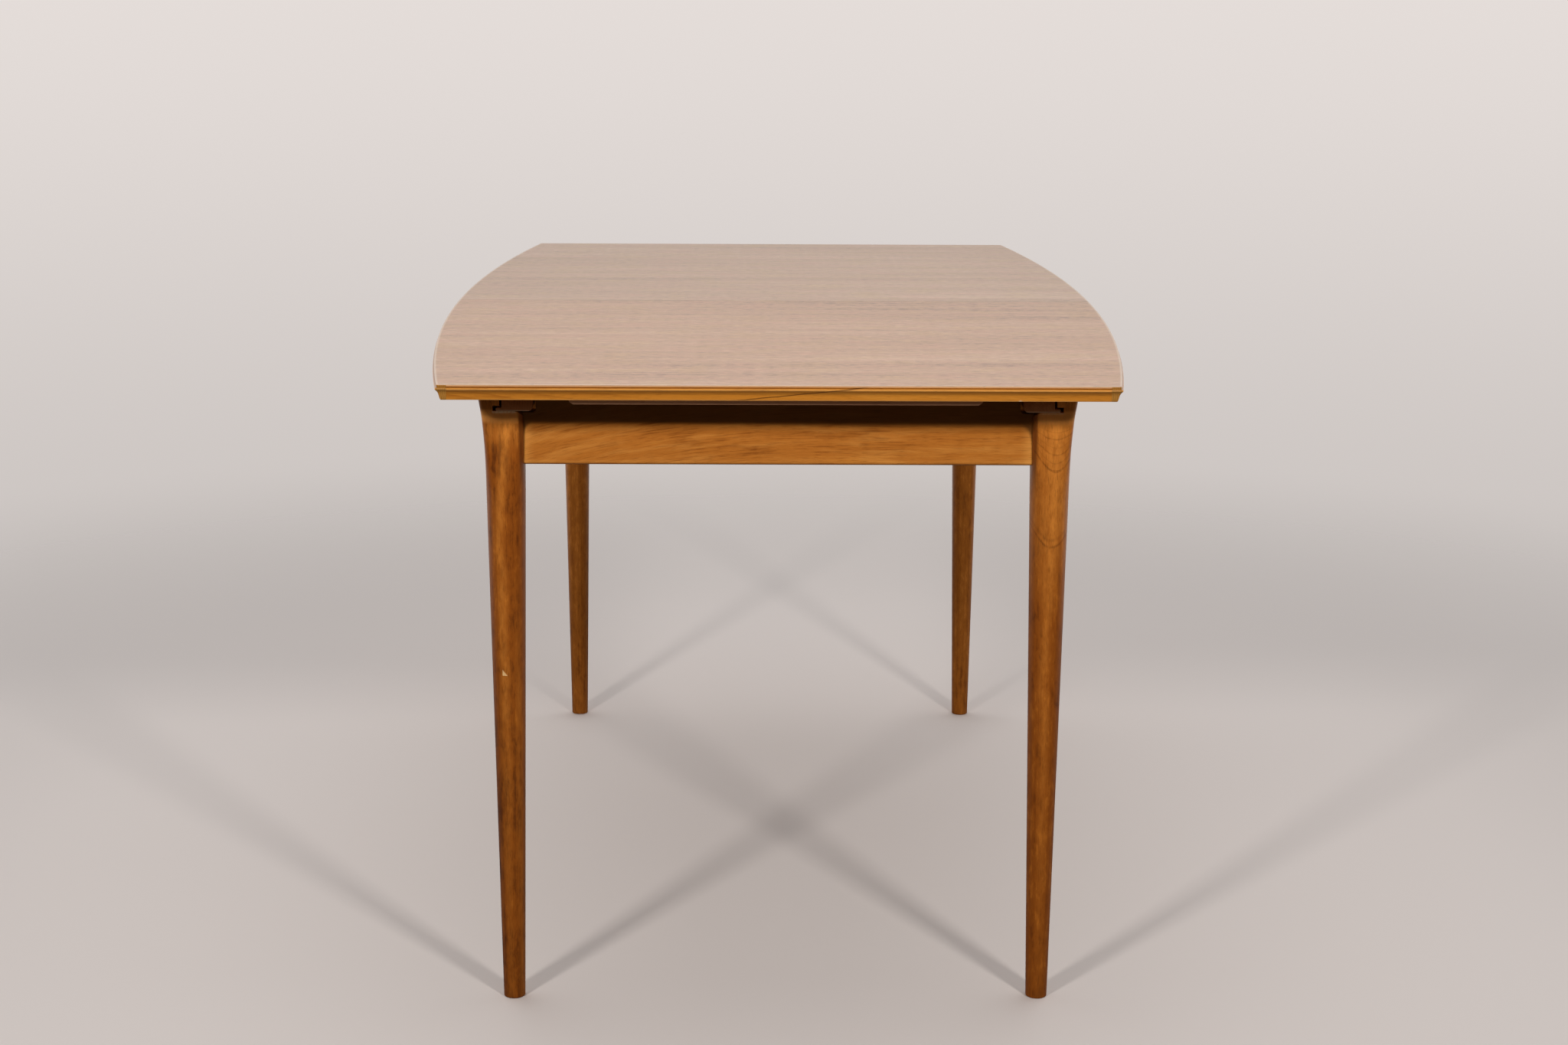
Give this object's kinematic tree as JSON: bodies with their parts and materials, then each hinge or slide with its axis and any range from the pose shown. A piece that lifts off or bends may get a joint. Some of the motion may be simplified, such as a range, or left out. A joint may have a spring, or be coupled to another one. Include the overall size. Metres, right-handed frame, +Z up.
{
  "type": "extending dining table",
  "caption": "Extending dining table with a boat-shaped two-part top that slides apart on runners over a four-legged frame, which stores a folded leaf.",
  "frame": {"origin": "on the floor, under the middle of the closed top", "axes": "+X across the table, +Y along its length away from the pictured end, +Z up"},
  "size_m": [0.838, 1.422, 0.7385],
  "materials": {
    "leg_wood": "satin lacquered hardwood, warm reddish brown",
    "rail_wood": "satin lacquered hardwood, golden brown",
    "moulding_wood": "satin lacquered hardwood, golden orange-brown",
    "top_veneer": "satin veneer, pinkish brown, fine straight grain across the table",
    "runner_wood": "waxed dark hardwood",
    "inner_wood": "plain sanded softwood and board",
    "screw_steel": "zinc-plated steel",
    "hinge_brass": "rolled brass, lightly tarnished"
  },
  "bodies": {
    "frame": {"brace_screws": "screw_steel", "corner_brace_far_left": "inner_wood", "corner_brace_far_right": "inner_wood", "corner_brace_near_left": "inner_wood", "corner_brace_near_right": "inner_wood", "end_rail_far": "rail_wood", "end_rail_near": "rail_wood", "leaf_bearer_far": "inner_wood", "leaf_bearer_near": "inner_wood", "leg_far_left": "leg_wood", "leg_far_right": "leg_wood", "leg_near_left": "leg_wood", "leg_near_right": "leg_wood", "side_rail_left": "rail_wood", "side_rail_right": "rail_wood"},
    "near_half": {"near_batten_screws": "screw_steel", "near_end_batten": "runner_wood", "near_end_lipping": "moulding_wood", "near_runner_left": "runner_wood", "near_runner_right": "runner_wood", "near_runner_screws": "screw_steel", "near_runner_stops": "runner_wood", "near_seam_lipping": "moulding_wood", "near_side_lipping_left": "moulding_wood", "near_side_lipping_right": "moulding_wood", "near_top_core": "inner_wood", "near_top_veneer": "top_veneer", "near_under_veneer": "inner_wood", "seam_dowels": "inner_wood"},
    "far_half": {"far_batten_screws": "screw_steel", "far_end_batten": "runner_wood", "far_end_lipping": "moulding_wood", "far_runner_left": "runner_wood", "far_runner_right": "runner_wood", "far_runner_screws": "screw_steel", "far_runner_stops": "runner_wood", "far_seam_lipping": "moulding_wood", "far_side_lipping_left": "moulding_wood", "far_side_lipping_right": "moulding_wood", "far_top_core": "inner_wood", "far_top_veneer": "top_veneer", "far_under_veneer": "inner_wood"},
    "folded_leaf": {"leaf_dowels": "inner_wood", "leaf_hinge_pins": "hinge_brass", "leaf_hinge_plates_lower": "hinge_brass", "leaf_hinge_plates_upper": "hinge_brass", "leaf_lower_core": "inner_wood", "leaf_lower_end_lipping": "moulding_wood", "leaf_lower_seam_lippings": "moulding_wood", "leaf_lower_veneer": "top_veneer", "leaf_upper_core": "inner_wood", "leaf_upper_end_lipping": "moulding_wood", "leaf_upper_seam_lippings": "moulding_wood", "leaf_upper_veneer": "top_veneer"}
  },
  "joints": [
    {"name": "near_half_slide", "type": "slide", "parent": "frame", "child": "near_half", "axis": [0, -1, 0], "range_m": [0, 0.228]},
    {"name": "far_half_slide", "type": "slide", "parent": "frame", "child": "far_half", "axis": [0, 1, 0], "range_m": [0, 0.228]},
    {"name": "leaf_lift", "type": "slide", "parent": "frame", "child": "folded_leaf", "axis": [0, 0, 1], "range_m": [0, 0.03]}
  ]
}
